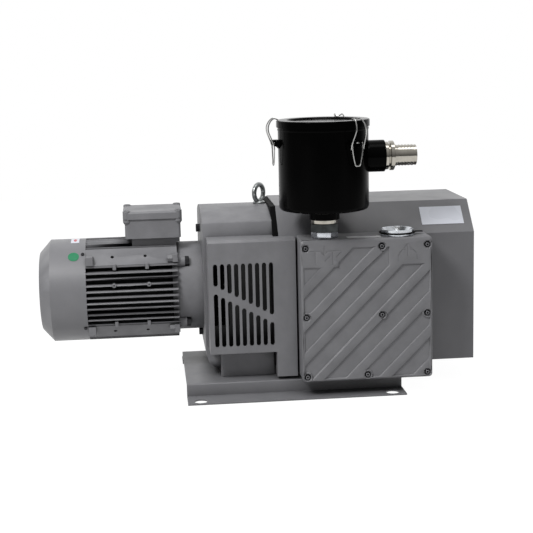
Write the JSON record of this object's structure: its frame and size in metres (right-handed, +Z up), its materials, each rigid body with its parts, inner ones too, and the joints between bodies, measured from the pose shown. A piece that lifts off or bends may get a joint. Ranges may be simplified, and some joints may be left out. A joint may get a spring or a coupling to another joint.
{
  "type": "claw vacuum pump",
  "caption": "Motor-driven dry claw vacuum pump on a folded base, with slotted air cover, acoustic hood, flat silencer box and a clipped canister inlet filter.",
  "frame": {"origin": "centre of the four base holes, on the floor", "axes": "+X along the shafts away from the motor, +Y from the silencer to the back, +Z up"},
  "size_m": [1.069, 0.5348, 0.6701],
  "materials": {
    "cast_grey": "satin grey paint over a casting",
    "motor_grey": "satin grey paint over a die casting",
    "sheet_grey": "satin grey powder coat on folded sheet",
    "black_paint": "gloss black paint on pressed sheet",
    "black_steel": "blackened steel",
    "zinc": "bright zinc plate",
    "steel": "ground steel",
    "iron": "machined cast iron",
    "rubber": "matt black rubber",
    "plastic": "moulded black plastic",
    "paper": "pleated filter paper",
    "sight": "clear oil sight glass"
  },
  "bodies": {
    "root": {"gear_housing": "cast_grey", "front_foot": "cast_grey", "motor_lantern": "cast_grey", "cylinder_plate": "cast_grey", "pump_cylinder": "cast_grey", "end_cover": "cast_grey", "silencer_body": "cast_grey", "silencer_cover": "cast_grey", "grille_cover": "cast_grey", "motor_frame": "motor_grey", "drive_end_shield": "motor_grey", "fan_end_shield": "motor_grey", "terminal_box": "motor_grey", "terminal_lid": "motor_grey", "base_frame": "sheet_grey", "acoustic_hood": "sheet_grey", "fan_cowl": "sheet_grey", "filter_canister": "black_paint", "filter_lid": "black_paint", "hex_bolts": "black_steel", "silencer_screws": "black_steel", "eye_bolt": "zinc", "inlet_fitting": "zinc", "outlet_ring": "zinc", "hose_nozzle": "zinc", "check_valve_spring": "zinc", "terminal_screws": "zinc", "cowl_screws": "zinc", "oil_plugs": "zinc", "shaft_bearings": "steel", "motor_bearings": "steel", "motor_stator": "steel", "hood_seal": "rubber", "outlet_seal": "rubber", "silencer_gasket": "rubber", "shaft_seals": "rubber", "entry_plugs": "plastic", "terminal_board": "plastic", "filter_cartridge": "paper", "oil_sight_glass": "sight"},
    "drive_train": {"motor_shaft": "steel", "motor_rotor": "steel", "motor_fan": "plastic", "coupling_motor_hub": "iron", "coupling_spider": "rubber", "coupling_pump_hub": "iron", "cooling_fan": "plastic", "drive_shaft": "steel", "drive_gear": "steel", "drive_claw": "iron"},
    "driven_rotor": {"driven_shaft": "steel", "driven_gear": "steel", "driven_claw": "iron"},
    "valve": {"check_valve": "zinc"},
    "lever_left": {"clip_lever_left": "zinc"},
    "hook_left": {"clip_hook_left": "zinc"},
    "lever_front": {"clip_lever_front": "zinc"},
    "hook_front": {"clip_hook_front": "zinc"},
    "lever_back": {"clip_lever_back": "zinc"},
    "hook_back": {"clip_hook_back": "zinc"}
  },
  "joints": [
    {"name": "drive_spin", "type": "hinge", "parent": "root", "child": "drive_train", "pos_m": [0, 0.061, 0.2355], "axis": [1, 0, 0], "continuous": true},
    {"name": "driven_spin", "type": "hinge", "parent": "root", "child": "driven_rotor", "pos_m": [0, 0.061, 0.3435], "axis": [1, 0, 0], "continuous": true},
    {"name": "valve_lift", "type": "slide", "parent": "root", "child": "valve", "axis": [0, 0, -1], "range_m": [0, 0.012], "stiffness_N_per_m": 200, "springref_m": -0.01, "deforming": ["check_valve_spring"]},
    {"name": "clip_left_lever", "type": "hinge", "parent": "root", "child": "lever_left", "pos_m": [-0.04144, -0.17843, 0.611], "axis": [-0.0523, 0.9986, 0], "range_deg": [0, 150]},
    {"name": "clip_left_hook", "type": "hinge", "parent": "lever_left", "child": "hook_left", "pos_m": [-0.04144, -0.17843, 0.598], "axis": [-0.0523, 0.9986, 0], "range_deg": [-120, 0]},
    {"name": "clip_front_lever", "type": "hinge", "parent": "root", "child": "lever_front", "pos_m": [0.14221, -0.272, 0.611], "axis": [-0.8387, -0.5446, 0], "range_deg": [0, 150]},
    {"name": "clip_front_hook", "type": "hinge", "parent": "lever_front", "child": "hook_front", "pos_m": [0.14221, -0.272, 0.598], "axis": [-0.8387, -0.5446, 0], "range_deg": [-120, 0]},
    {"name": "clip_back_lever", "type": "hinge", "parent": "root", "child": "lever_back", "pos_m": [0.13142, -0.06617, 0.611], "axis": [0.891, -0.454, 0], "range_deg": [0, 150]},
    {"name": "clip_back_hook", "type": "hinge", "parent": "lever_back", "child": "hook_back", "pos_m": [0.13142, -0.06617, 0.598], "axis": [0.891, -0.454, 0], "range_deg": [-120, 0]}
  ],
  "couplings": [
    {"joint": "driven_spin", "follows": "drive_spin", "ratio": -1},
    {"joint": "clip_left_hook", "follows": "clip_left_lever", "ratio": -0.8},
    {"joint": "clip_front_hook", "follows": "clip_front_lever", "ratio": -0.8},
    {"joint": "clip_back_hook", "follows": "clip_back_lever", "ratio": -0.8}
  ]
}
